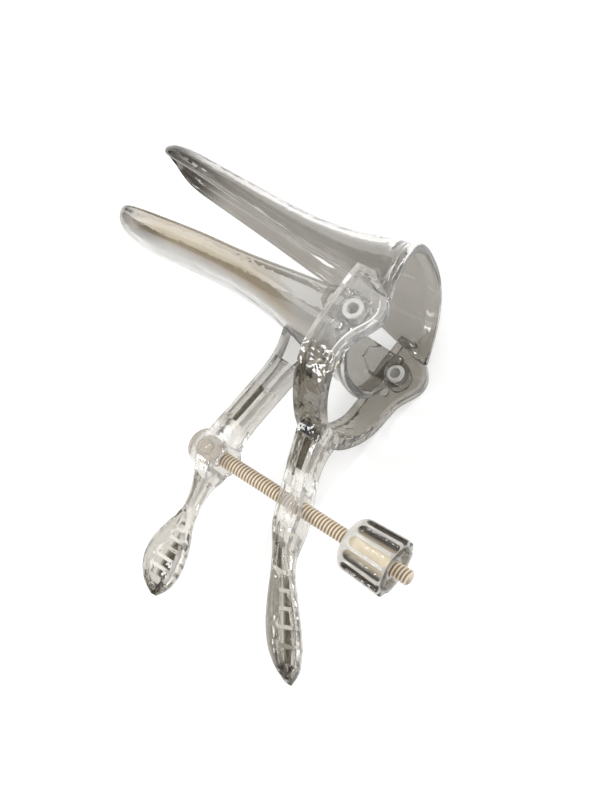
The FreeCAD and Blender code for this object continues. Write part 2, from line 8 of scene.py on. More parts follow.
import bmesh
import bpy
import numpy as np
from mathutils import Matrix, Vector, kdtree


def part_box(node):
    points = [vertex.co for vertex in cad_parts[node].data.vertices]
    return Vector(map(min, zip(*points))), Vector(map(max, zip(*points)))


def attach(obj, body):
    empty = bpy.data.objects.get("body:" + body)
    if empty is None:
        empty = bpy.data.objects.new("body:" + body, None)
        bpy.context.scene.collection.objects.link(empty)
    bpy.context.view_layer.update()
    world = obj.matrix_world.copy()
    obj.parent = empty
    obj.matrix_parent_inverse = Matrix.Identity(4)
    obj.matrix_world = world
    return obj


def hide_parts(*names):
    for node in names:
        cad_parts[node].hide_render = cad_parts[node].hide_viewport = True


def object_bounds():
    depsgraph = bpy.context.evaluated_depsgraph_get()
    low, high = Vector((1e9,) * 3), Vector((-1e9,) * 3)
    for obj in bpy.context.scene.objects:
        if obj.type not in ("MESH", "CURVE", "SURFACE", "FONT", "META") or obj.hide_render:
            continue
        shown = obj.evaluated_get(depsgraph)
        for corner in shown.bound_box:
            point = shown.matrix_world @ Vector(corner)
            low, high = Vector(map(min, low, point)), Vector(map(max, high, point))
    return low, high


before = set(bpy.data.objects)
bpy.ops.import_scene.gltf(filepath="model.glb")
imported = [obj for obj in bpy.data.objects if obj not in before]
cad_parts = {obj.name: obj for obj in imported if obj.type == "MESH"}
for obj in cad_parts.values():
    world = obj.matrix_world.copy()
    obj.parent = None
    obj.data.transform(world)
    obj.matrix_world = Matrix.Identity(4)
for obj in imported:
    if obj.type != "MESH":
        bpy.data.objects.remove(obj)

CAD_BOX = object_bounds()
MM = 0.001
WELD = 1e-7                     # points nearer than this are one, m
MID_Z = 29.0                    # mid-plane between the yoke's arms, mm
# The plastics darken their hollows by the crest attribute, as painted shade.
CREST = "crest"                 # attribute that holds how high a point stands, from hollow 0 to crest 1
LOG = logging.getLogger("speculum")


def linear(hex_colour: str) -> tuple[float, float, float, float]:
    """Turns an sRGB hex colour into linear light.

    Args:
        hex_colour: Colour as six hex digits after a hash sign.

    Returns:
        Red, green, blue and a full alpha.
    """
    channels = [int(hex_colour[i:i + 2], 16) / 255 for i in (1, 3, 5)]
    curved = [c / 12.92 if c <= 0.04045 else ((c + 0.055) / 1.055) ** 2.4 for c in channels]
    return (curved[0], curved[1], curved[2], 1.0)


@dataclass
class NodeDesk:
    """A material's node tree, with one way to add a node."""

    tree: bpy.types.NodeTree

    def add(self, kind: str, links: dict[Any, Any] | None = None, **settings: Any) -> bpy.types.Node:
        """Adds a node with its settings and links.

        Args:
            kind: Blender's name of the node type.
            links: For each input name or index, the output socket or plain value that it takes.
            settings: Attributes of the node.

        Returns:
            The new node.
        """
        node = self.tree.nodes.new(kind)
        for name, value in settings.items():
            setattr(node, name, value)
        for name, source in (links or {}).items():
            socket = node.inputs[name]
            if isinstance(source, bpy.types.NodeSocket):
                self.tree.links.new(source, socket)
            else:
                socket.default_value = source
        return node


def new_material(name: str) -> tuple[bpy.types.Material, NodeDesk]:
    """Makes an empty node material.

    Args:
        name: The material's name.

    Returns:
        The material and its node desk.
    """
    material = bpy.data.materials.new(name)
    material.use_nodes = True
    material.node_tree.nodes.clear()
    return material, NodeDesk(material.node_tree)


class Axis(Enum):
    """Direction of a turned piece's axis."""

    ROD = "y"
    HINGE = "z"


@dataclass(frozen=True)
class Zone:
    """Band along one direction, faded in between two places, in millimetres."""

    axis: str
    none_at: float
    full_at: float
    about: float | None = None          # both places are then distances from this one

    def mask(self, desk: NodeDesk, places: bpy.types.Node) -> bpy.types.NodeSocket:
        """Gives 0 outside the band and 1 inside it.

        Args:
            desk: Where the nodes go.
            places: The node that holds the surface point's X, Y and Z, in metres.

        Returns:
            The mask.
        """
        value = places.outputs[self.axis.upper()]
        if self.about is not None:
            shifted = desk.add("ShaderNodeMath", {0: value, 1: self.about * MM}, operation="SUBTRACT")
            value = desk.add("ShaderNodeMath", {0: shifted.outputs[0]}, operation="ABSOLUTE").outputs[0]
        return desk.add("ShaderNodeMapRange", {
            0: value, 1: self.none_at * MM, 2: self.full_at * MM}, interpolation_type="SMOOTHSTEP").outputs[0]


@dataclass(frozen=True)
class PaintedLightTone:
    """One tone of painted light laid over the ones before it, where all its zones meet: a painted highlight
    where it is lighter, painted shade where it is darker.
    """

    colour: str
    zones: tuple[Zone, ...]
    amount: float = 1.0

    def cover(self, desk: NodeDesk, places: bpy.types.Node) -> bpy.types.NodeSocket:
        """Multiplies the masks of the zones and the amount.

        Args:
            desk: Where the nodes go.
            places: The node that holds the surface point.

        Returns:
            The share of this tone.
        """
        value: Any = self.amount
        for zone in self.zones:
            value = desk.add("ShaderNodeMath", {0: value, 1: zone.mask(desk, places)},
                             operation="MULTIPLY").outputs[0]
        return value


@dataclass(frozen=True)
class Waves:
    """Gentle waves that the mould's flow leaves in a polished face, which bend what it shows."""

    strength: float
    size: float = 9.0                   # width of a wave, mm
    detail: float = 1.0
    height: float = 0.3                 # mm

    def bend(self, desk: NodeDesk, shader: bpy.types.Node) -> None:
        """Links the waves to a shader's normal.

        Args:
            desk: Where the nodes go.
            shader: The shader.
        """
        point = desk.add("ShaderNodeTexCoord").outputs["Object"]
        noise = desk.add("ShaderNodeTexNoise", {
            "Vector": point, "Scale": 1.0 / (self.size * MM), "Detail": self.detail})
        bump = desk.add("ShaderNodeBump", {
            "Strength": self.strength, "Distance": self.height * MM, "Height": noise.outputs["Fac"]})
        desk.tree.links.new(bump.outputs[0], shader.inputs["Normal"])


@dataclass(frozen=True)
class ClearPolystyrene:
    """Injection-moulded crystal polystyrene: polished and glass-clear, smoky where walls overlap, with
    painted light and shade laid on by place.
    """

    name: str
    tint: str
    clear: float = 1.0
    roughness: float = 0.03
    waves: Waves = Waves(0.06)
    painted_light: tuple[PaintedLightTone, ...] = ()
    ior: float = 1.59

    def colour(self, desk: NodeDesk) -> Any:
        """Lays the tones of painted light and shade over the tint, one after another.

        Args:
            desk: Where the nodes go.

        Returns:
            The plain tint where there is no tone, else the socket of the last mix.
        """
        colour: Any = linear(self.tint)
        if not self.painted_light:
            return colour
        places = desk.add("ShaderNodeSeparateXYZ", {0: desk.add("ShaderNodeTexCoord").outputs["Object"]})
        for tone in self.painted_light:
            mix = desk.add("ShaderNodeMix", {
                0: tone.cover(desk, places), 6: colour, 7: linear(tone.colour)}, data_type="RGBA")
            colour = mix.outputs[2]
        return colour

    def make(self) -> bpy.types.Material:
        """Builds the material: a transmissive shader, its painted light and shade by place, with faint waves.

        Returns:
            The material.
        """
        material, desk = new_material(self.name)
        shader = desk.add("ShaderNodeBsdfPrincipled", {
            "Base Color": self.colour(desk), "Roughness": self.roughness, "IOR": self.ior,
            "Transmission Weight": self.clear})
        self.waves.bend(desk, shader)
        desk.add("ShaderNodeOutputMaterial", {"Surface": shader.outputs[0]})
        return material


@dataclass(frozen=True)
class EdgeOnShade:
    """Painted shade that darkens a round clear body where it turns away, standing for the darker look through
    more plastic there.
    """

    colour: str
    from_facing: float = 0.06           # no painted shade where the body faces the viewer more than this
    to_facing: float = 0.26             # and all of it from here on

    def cover(self, desk: NodeDesk, axis_x: float) -> bpy.types.NodeSocket:
        """Measures how far the body turns away, by the direction out from its axis and not by its flutes.

        Args:
            desk: Where the nodes go.
            axis_x: Place of the body's axis, which runs along Y in the mid-plane, mm.

        Returns:
            The share of the dark tone.
        """
        from_axis = desk.add("ShaderNodeVectorMath", {
            0: desk.add("ShaderNodeTexCoord").outputs["Object"], 1: (axis_x * MM, 0.0, MID_Z * MM)},
            operation="SUBTRACT")
        across = desk.add("ShaderNodeVectorMath", {0: from_axis.outputs[0], 1: (1.0, 0.0, 1.0)},
                          operation="MULTIPLY")
        outwards = desk.add("ShaderNodeVectorMath", {0: across.outputs[0]}, operation="NORMALIZE")
        weight = desk.add("ShaderNodeLayerWeight", {"Blend": 0.5, "Normal": outwards.outputs[0]})
        return desk.add("ShaderNodeMapRange", {
            0: weight.outputs["Facing"], 1: self.from_facing, 2: self.to_facing},
            interpolation_type="SMOOTHSTEP").outputs[0]


@dataclass(frozen=True)
class HollowShadedPlastic:
    """Moulded plastic whose tone runs from painted shade in its hollows to its crests, by the piece's own
    attribute.

    Acetal is ivory, opaque and softly glossy. The polystyrene of the nut and the pins is polished and
    partly clear, and the nut takes a painted highlight along its crests.
    """

    name: str
    hollow: str
    crest: str
    roughness: float
    ior: float
    clear_hollow: float = 0.0
    clear_crest: float = 0.0
    edge_shade: EdgeOnShade | None = None
    waves: Waves | None = None

    def make(self, axis_x: float = 0.0) -> bpy.types.Material:
        """Builds the material.

        Args:
            axis_x: Place of the piece's axis for the painted shade that darkens edge-on, mm.

        Returns:
            The material.
        """
        material, desk = new_material(self.name)
        depth = desk.add("ShaderNodeAttribute", attribute_name=CREST).outputs["Fac"]
        hollow: Any = linear(self.hollow)
        if self.edge_shade:
            hollow = desk.add("ShaderNodeMix", {
                0: self.edge_shade.cover(desk, axis_x), 6: hollow, 7: linear(self.edge_shade.colour)},
                data_type="RGBA").outputs[2]
        mix = desk.add("ShaderNodeMix", {0: depth, 6: hollow, 7: linear(self.crest)}, data_type="RGBA")
        shader = desk.add("ShaderNodeBsdfPrincipled", {
            "Base Color": mix.outputs[2], "Roughness": self.roughness, "IOR": self.ior,
            "Transmission Weight": self.clear_crest})
        if self.clear_hollow != self.clear_crest:
            clear = desk.add("ShaderNodeMapRange", {0: depth, 3: self.clear_hollow, 4: self.clear_crest})
            desk.tree.links.new(clear.outputs[0], shader.inputs["Transmission Weight"])
        if self.waves:
            self.waves.bend(desk, shader)
        desk.add("ShaderNodeOutputMaterial", {"Surface": shader.outputs[0]})
        return material


@dataclass
class Shells:
    """Closed shells of one piece, gathered as arrays and made into one mesh."""

    points: list[np.ndarray] = field(default_factory=list)
    faces: list[np.ndarray] = field(default_factory=list)
    crests: list[np.ndarray] = field(default_factory=list)
    count: int = 0

    def add_grid(self, grid: np.ndarray, crest: np.ndarray | float = 0.0, wrap_rows: bool = False) -> None:
        """Adds a surface whose columns run round in a ring.

        Args:
            grid: Points in rows and columns, shape (rows, columns, 3), in millimetres.
            crest: Height of each point between hollow and crest, 0 to 1.
            wrap_rows: Whether the last row joins the first.
        """
        rows, columns = grid.shape[:2]
        row = np.arange(rows if wrap_rows else rows - 1)[:, None]
        column = np.arange(columns)[None, :]
        after, beside = (row + 1) % rows, (column + 1) % columns
        quads = np.stack([row * columns + column, row * columns + beside,
                          after * columns + beside, after * columns + column], axis=-1)
        self.faces.append(quads.reshape(-1, 4) + self.count)
        self.points.append(grid.reshape(-1, 3))
        self.crests.append(np.broadcast_to(crest, (rows, columns)).reshape(-1).astype(float))
        self.count += rows * columns

    def add_block(self, corners: np.ndarray, crest: float = 0.0) -> None:
        """Adds a six-sided block.

        Args:
            corners: Eight corners, four below and four above in the same order, in millimetres.
            crest: Height of all of them between hollow and crest, 0 to 1.
        """
        quads = np.array([(3, 2, 1, 0), (4, 5, 6, 7), (0, 1, 5, 4), (1, 2, 6, 5), (2, 3, 7, 6), (3, 0, 4, 7)])
        self.faces.append(quads + self.count)
        self.points.append(corners)
        self.crests.append(np.full(len(corners), crest))
        self.count += len(corners)

    def make(self, name: str, material: bpy.types.Material, sharp: float = 40.0) -> bpy.types.Object:
        """Makes the object, with poles merged, faces outwards and edges smooth below an angle.

        Args:
            name: The piece's name.
            material: Its finish.
            sharp: Angle in degrees from which an edge stays sharp.

        Returns:
            The object, linked to the scene.
        """
        mesh = bpy.data.meshes.new(name)
        mesh.from_pydata((np.concatenate(self.points) * MM).tolist(), [], np.concatenate(self.faces).tolist())
        marks = mesh.attributes.new(CREST, "FLOAT", "POINT")
        marks.data.foreach_set("value", np.concatenate(self.crests).astype(np.float32))
        work = bmesh.new()
        work.from_mesh(mesh)
        bmesh.ops.remove_doubles(work, verts=work.verts, dist=WELD)
        bmesh.ops.recalc_face_normals(work, faces=work.faces)
        work.to_mesh(mesh)
        work.free()
        mesh.shade_smooth()
        mesh.set_sharp_from_angle(angle=math.radians(sharp))
        mesh.materials.append(material)
        piece = bpy.data.objects.new(name, mesh)
        bpy.context.scene.collection.objects.link(piece)
        return piece


def resample(profile: np.ndarray, spacing: float) -> np.ndarray:
    """Adds points along a profile of straight runs so that none is longer than the spacing.

    Args:
        profile: Corner points, shape (n, 2).
        spacing: Longest run, mm.

    Returns:
        The denser profile, which still has every corner.
    """
    runs = np.linalg.norm(np.diff(profile, axis=0), axis=1)
    counts = np.maximum(np.ceil(runs / spacing).astype(int), 1)
    stops = np.repeat(np.arange(len(runs)), counts) + np.concatenate([np.arange(c) / c for c in counts])
    stops = np.append(stops, len(runs))
    ahead = np.minimum(stops.astype(int), len(runs) - 1)
    part = (stops - ahead)[:, None]
    return profile[ahead] * (1 - part) + profile[ahead + 1] * part


def turned(profile: np.ndarray, centre: tuple[float, float, float], axis: Axis, columns: int) -> np.ndarray:
    """Turns a profile round an axis: radius r and height h at angle a give (r cos a, h, r sin a).

    Args:
        profile: Radius and height of each row, shape (rows, 2), in millimetres.
        centre: Where radius and height are zero.
        axis: Direction of the heights.
        columns: Points round the axis.

    Returns:
        Points, shape (rows, columns, 3).
    """
    angle = np.linspace(0.0, 2 * np.pi, columns, endpoint=False)
    across, along = profile[:, :1] * np.cos(angle), profile[:, :1] * np.sin(angle)
    height = np.broadcast_to(profile[:, 1:], across.shape)
    order = (across, height, along) if axis is Axis.ROD else (across, along, height)
    return np.stack(order, axis=-1) + np.array(centre)


def box_mm(node: str) -> tuple[np.ndarray, np.ndarray]:
    """Finds a CAD node's box.

    Args:
        node: The node's name.

    Returns:
        Its lowest and highest corner, in millimetres.
    """
    low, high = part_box(node)
    return np.array(low) / MM, np.array(high) / MM


def rod_axis_x() -> float:
    """Finds the line that the rod and the nut share.

    Returns:
        Its place along X, mm.
    """
    low, high = box_mm("threaded_rod")
    return float(low[0] + high[0]) / 2


def settle(piece: bpy.types.Object, body: str, node: str) -> None:
    """Puts a piece on its body, in the place of a CAD node.

    Args:
        piece: The finished piece.
        body: The body that it moves with.
        node: The CAD node that it stands for.
    """
    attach(piece, body)
    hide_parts(node)
    LOG.info("%s made with %d faces", piece.name, len(piece.data.polygons))


@dataclass
class ThreadedRod:
    """Ivory rod: helical thread along its shank, and at its inner end a barrel with two studs across it."""

    crest_r: float = 2.5
    root_r: float = 2.02
    pitch: float = 1.2
    root_share: float = 0.2             # share of half a turn that stays at the root
    flank_share: float = 0.5            # share of half a turn that climbs to the crest
    end_under: float = 0.25             # the free end starts this far below the root
    end_slope: float = 1.3              # and gains this much radius per mm
    pin_inset: float = 3.0              # from the CAD rod's inner end to the studs' axis
    shank_short: float = 1.0            # the shank ends this far short of the studs' axis
    barrel_r: float = 3.9
    barrel_half: float = 3.7
    stud_r: float = 2.2
    stud_end: float = 5.5
    round_off: float = 0.35
    end_tone: float = 0.7
    barrel_tone: float = 0.75
    columns: int = 48
    barrel_columns: int = 64
    rows_per_turn: int = 11
    # Painted shade: the thread's roots are darker brown than its crests, and the end and barrel sit between
    # the two.
    finish: HollowShadedPlastic = HollowShadedPlastic("ivory_acetal", "#8f7b5f", "#e8d9c3", 0.32, 1.48)

    def shank(self, low_y: float, high_y: float, x: float) -> tuple[np.ndarray, np.ndarray]:
        """Thread: the radius falls from crest to root and back once per pitch, along a helix.

        Args:
            low_y: The free end.
            high_y: The end inside the barrel.
            x: Place of the axis.

        Returns:
            Points and the height of each between root and crest.
        """
        count = int((high_y - low_y) / self.pitch * self.rows_per_turn)
        y = np.linspace(low_y, high_y, count)[:, None]
        angle = np.linspace(0.0, 2 * np.pi, self.columns, endpoint=False)[None, :]
        turn = (y - low_y) / self.pitch - angle / (2 * np.pi)
        wave = np.abs((turn % 1.0) - 0.5) * 2
        climb = np.clip((wave - self.root_share) / self.flank_share, 0.0, 1.0)
        height = climb * climb * (3 - 2 * climb)
        radius = self.root_r + (self.crest_r - self.root_r) * height
        radius = np.minimum(radius, self.root_r - self.end_under + (y - low_y) * self.end_slope)
        grid = np.stack([x + radius * np.cos(angle), np.broadcast_to(y, radius.shape),
                         MID_Z + radius * np.sin(angle)], axis=-1)
        caps = [np.broadcast_to(np.array([x, end, MID_Z]), (1, self.columns, 3)) for end in (low_y, high_y)]
        flat = np.zeros((1, self.columns))
        return np.concatenate([caps[0], grid, caps[1]]), np.concatenate([flat + self.end_tone, height, flat])

    def cross_pin(self) -> np.ndarray:
        """Half section of the barrel and one stud, with rounded-off corners.

        Returns:
            Radius and height of each corner, from the middle outwards.
        """
        e = self.round_off
        return np.array([(self.barrel_r, 0.0), (self.barrel_r, self.barrel_half - e),
                         (self.barrel_r - e, self.barrel_half), (self.stud_r, self.barrel_half),
                         (self.stud_r, self.stud_end - e), (self.stud_r - e, self.stud_end),
                         (0.0, self.stud_end)])

    def make(self) -> None:
        """Builds the rod round the CAD node's own box."""
        low, high = box_mm("threaded_rod")
        x = rod_axis_x()
        pin_y = high[1] - self.pin_inset
        shells = Shells()
        shells.add_grid(*self.shank(low[1], pin_y - self.shank_short, x))
        half = self.cross_pin()
        profile = np.concatenate([half[::-1] * (1, -1), half[1:]])
        pin = turned(profile, (x, pin_y, MID_Z), Axis.HINGE, self.barrel_columns)
        shells.add_grid(pin, self.barrel_tone)
        settle(shells.make("threaded_rod_helix", self.finish.make()), "rod", "threaded_rod")


@dataclass
class ThumbNut:
    """Clear thumb nut: twelve round-ended flutes, domed nose, hollow free end with a hub and six webs."""

    bore_r: float = 2.56
    nose_r: float = 3.1                 # flat ring round the bore, where the dome begins
    shoulder_r: float = 8.8
    free_r: float = 9.5
    shoulder_back: float = 2.7          # from the nose to the shoulder
    dome_past: float = 1.8              # the dome runs on this far past the shoulder
    dome_out: float = 0.9               # fullness of the dome outwards
    dome_up: float = 0.75               # fullness of the dome along the axis
    dome_rows: int = 14
    # Round of the free end's corner, each point so far inwards and up from it.
    free_round: tuple[tuple[float, float], ...] = ((0.05, 0.5), (0.35, 0.12), (0.7, 0.0))
    flute_r: float = 2.1
    flute_depth: float = 1.1
    flute_start: float = 2.6            # from the shoulder to the centre of a flute's round end
    flutes: int = 12
    crest_share: float = 0.16           # share of a flute's depth over which the crests' tone fades
    wall: float = 2.3
    room_depth: float = 10.5
    room_draft: float = 0.35            # the room narrows by this towards its floor
    room_round: float = 0.4
    rim_bevel: float = 0.25
    hub_r: float = 3.9
    hub_inset: float = 0.5              # the hub's end lies this far behind the free end
    bevel: float = 0.2                  # at the hub's and the bore's corners
    web: float = 1.0
    webs: int = 6
    web_inset: float = 1.5              # the webs' edges lie this far behind the free end
    web_bite: float = 0.1               # how far a web sinks into the hub and the room's floor
    web_short: float = 0.25             # how far it ends short of the wall's inner radius
    # The room and the webs sit part way between the hollows' painted shade and the crests' painted highlight.
    inside_tone: float = 0.55
    web_tone: float = 0.9
    edge: float = 0.12                  # softness of the ribs' edges
    uncut: float = 99.0                 # radius that stands for no cut
    far_gap: float = 40.0               # past this many softness widths nothing changes
    columns: int = 288
    outer_spacing: float = 0.3
    inner_spacing: float = 1.2
    # Painted shade: the nut darkens edge-on, most in its flutes' hollows, and its crests take a whiter,
    # clearer painted highlight.
    finish: HollowShadedPlastic = HollowShadedPlastic(
        "crystal_polystyrene_nut", "#f7e8cb", "#fffcf5", 0.05, 1.59, 0.3, 0.5, EdgeOnShade("#40382d"),
        Waves(0.9, 1.6, 2.0))

    def fluted(self, radius: np.ndarray, y: np.ndarray, angle: np.ndarray,
               shoulder_y: float, face_y: float) -> np.ndarray:
        """Cuts the flutes: a round-ended rod's surface, as a radius, is soft-minimised with the blank's.

        Args:
            radius: The blank's radius by row.
            y: Height by row.
            angle: Angle by column.
            shoulder_y: Height of the shoulder.
            face_y: Height of the free end.

        Returns:
            The radius by row and column.
        """
        slope = (self.free_r - self.shoulder_r) / (shoulder_y - face_y)
        tip_y = shoulder_y - self.flute_start
        step = 2 * np.pi / self.flutes
        off = np.abs((angle + step / 2) % step - step / 2)
        reach = self.shoulder_r + self.flute_r - self.flute_depth + slope * (tip_y - y)
        tool = np.sqrt(np.maximum(self.flute_r ** 2 - np.maximum(y - tip_y, 0.0) ** 2, 0.0))
        inside = tool ** 2 - (reach * np.sin(off)) ** 2
        cut = np.where(inside > 0, reach * np.cos(off) - np.sqrt(np.maximum(inside, 0.0)), self.uncut)
        cut = np.where(y > tip_y + self.flute_r, self.uncut, cut)
        gap = np.clip((cut - radius) / self.edge, -self.far_gap, self.far_gap)
        return radius - self.edge * np.log1p(np.exp(-gap))

    def outside(self, face_y: float, nose_y: float) -> np.ndarray:
        """Profile from the nose over the dome and down the side to the free end, before the flutes are cut.

        Args:
            face_y: Height of the free end.
            nose_y: Height of the nose.

        Returns:
            Radius and height of each row.
        """
        dome_y = nose_y - self.shoulder_back - self.dome_past
        part = np.linspace(0.0, np.pi / 2, self.dome_rows)
        dome = np.stack([self.nose_r + (self.shoulder_r - self.nose_r) * np.sin(part) ** self.dome_out,
                         dome_y + (nose_y - dome_y) * np.cos(part) ** self.dome_up], axis=-1)
        side = np.array([(self.shoulder_r, dome_y)] + [
            (self.free_r - inwards, face_y + up) for inwards, up in self.free_round])
        return resample(np.concatenate([dome, side]), self.outer_spacing)

    def hollow(self, face_y: float, nose_y: float) -> np.ndarray:
        """Profile from the free end's rim down the room, up the hub and through the bore to the nose.

        Args:
            face_y: Height of the free end.
            nose_y: Height of the nose.

        Returns:
            Radius and height of each row.
        """
        room_y = face_y + self.room_depth
        hub_y = face_y + self.hub_inset
        inner = self.free_r - self.wall
        floor_r = inner - self.room_draft - self.room_round
        return resample(np.array([
            (inner + self.rim_bevel, face_y), (inner, face_y + self.rim_bevel),
            (inner - self.room_draft, room_y - self.room_round), (floor_r, room_y), (self.hub_r, room_y),
            (self.hub_r, hub_y + self.bevel), (self.hub_r - self.bevel, hub_y),
            (self.bore_r + self.bevel, hub_y), (self.bore_r, hub_y + self.bevel),
            (self.bore_r, nose_y - self.bevel), (self.bore_r + self.bevel, nose_y)]), self.inner_spacing)

    def web_block(self, turn: float, x: float, face_y: float) -> np.ndarray:
        """Corners of one web, a flat bar from the hub to the wall.

        Args:
            turn: Its direction round the axis.
            x: Place of the axis.
            face_y: Height of the free end.

        Returns:
            Eight corners.
        """
        outwards = np.array([np.sin(turn), 0.0, np.cos(turn)])
        sideways = np.array([np.cos(turn), 0.0, -np.sin(turn)])
        hub = self.hub_r - self.web_bite
        wall = self.free_r - self.wall - self.web_short
        ring = [np.array([x, 0.0, MID_Z]) + outwards * radius + sideways * side * self.web / 2
                for radius, side in ((hub, -1), (wall, -1), (wall, 1), (hub, 1))]
        levels = (face_y + self.web_inset, face_y + self.room_depth + self.web_bite)
        return np.array([corner + np.array([0.0, y, 0.0]) for y in levels for corner in ring])

    def make(self) -> None:
        """Builds the nut round the CAD node's own box."""
        low, high = box_mm("thumb_nut")
        x, face_y, nose_y = (low[0] + high[0]) / 2, low[1], high[1]
        outer, rest = self.outside(face_y, nose_y), self.hollow(face_y, nose_y)
        angle = np.linspace(0.0, 2 * np.pi, self.columns, endpoint=False)[None, :]
        blank = outer[:, :1]
        radius = self.fluted(blank, outer[:, 1:], angle, nose_y - self.shoulder_back, face_y)
        sunk = np.clip((blank - radius) / (self.crest_share * self.flute_depth), 0.0, 1.0)
        radius = np.concatenate([radius, np.broadcast_to(rest[:, :1], (len(rest), self.columns))])
        y = np.concatenate([outer[:, 1:], rest[:, 1:]])
        grid = np.stack([x + radius * np.sin(angle), np.broadcast_to(y, radius.shape),
                         MID_Z + radius * np.cos(angle)], axis=-1)
        crest = np.concatenate([1 - sunk, np.full((len(rest), self.columns), self.inside_tone)])
        shells = Shells()
        shells.add_grid(grid, crest, wrap_rows=True)
        for turn in np.arange(self.webs) * 2 * np.pi / self.webs:
            shells.add_block(self.web_block(turn, x, face_y), self.web_tone)
        material = self.finish.make(rod_axis_x())
        settle(shells.make("thumb_nut_fluted", material), "nut", "thumb_nut")


@dataclass
class HingePins:
    """Two hollow hinge pins with rounded heads outside the yoke and snap collars inside the ears."""

    bore_r: float = 1.8
    shank_r: float = 2.95
    head_r: float = 3.4
    head: float = 1.1
    head_round: float = 0.4
    head_cut: tuple[float, float] = (0.12, 0.14)        # inwards and down, midway round the head's edge
    mouth_round: float = 0.35
    mouth_cut: float = 0.1                              # midway round the bore's mouth
    inner_bevel: float = 0.15
    collar_r: float = 3.25
    collar_lead: float = 0.25                           # how far below the shank the lead-in starts
    collar_from: float = 0.65
    collar_to: float = 0.7
    collar_end: float = 0.75
    columns: int = 72
    finish: HollowShadedPlastic = HollowShadedPlastic(
        "crystal_polystyrene_pins", "#f6f4ee", "#f9f7f2", 0.06, 1.59, 0.5, 0.5)

    def profile(self, length: float) -> np.ndarray:
        """Section of a pin from its collar at height 0 to its head.

        Args:
            length: Height of the head's face.

        Returns:
            Radius and height of each corner, as a closed ring.
        """
        inwards, down = self.head_cut
        return np.array([
            (self.bore_r, self.inner_bevel), (self.bore_r + self.inner_bevel, 0.0),
            (self.shank_r - self.collar_lead, 0.0), (self.collar_r, self.collar_from),
            (self.collar_r, self.collar_to), (self.shank_r, self.collar_end),
            (self.shank_r, length - self.head), (self.head_r, length - self.head),
            (self.head_r, length - self.head_round), (self.head_r - inwards, length - down),
            (self.head_r - self.head_round, length), (self.bore_r + self.mouth_round, length),
            (self.bore_r + self.mouth_cut, length - self.mouth_cut),
            (self.bore_r, length - self.mouth_round)])

    def make(self) -> None:
        """Builds both pins round their CAD nodes' boxes."""
        material = self.finish.make()
        for side, way in (("near", 1), ("far", -1)):
            node = "hinge_pin_" + side
            low, high = box_mm(node)
            profile = self.profile(high[2] - low[2]) * (1, way)
            base = low[2] if way > 0 else high[2]
            centre = ((low[0] + high[0]) / 2, (low[1] + high[1]) / 2, base)
            shells = Shells()
            shells.add_grid(turned(profile, centre, Axis.HINGE, self.columns), 1.0, wrap_rows=True)
            settle(shells.make(node + "_ring", material), "upper", node)


class Trough(Enum):
    """A blade's trough: x of the line midway between its lips, at y = 0, and that line's slope."""

    UPPER = (15.5, 0.155)
    LOWER = (12.2, -0.035)


class Region(Enum):
    """Stretches of a valve that take different painted light and shade, each with its material slot."""

    WALL = 0
    RIB = 1
    WEB = 2
    PAD = 3
    RIM = 4
    INSIDE = 5
    ARM = 6


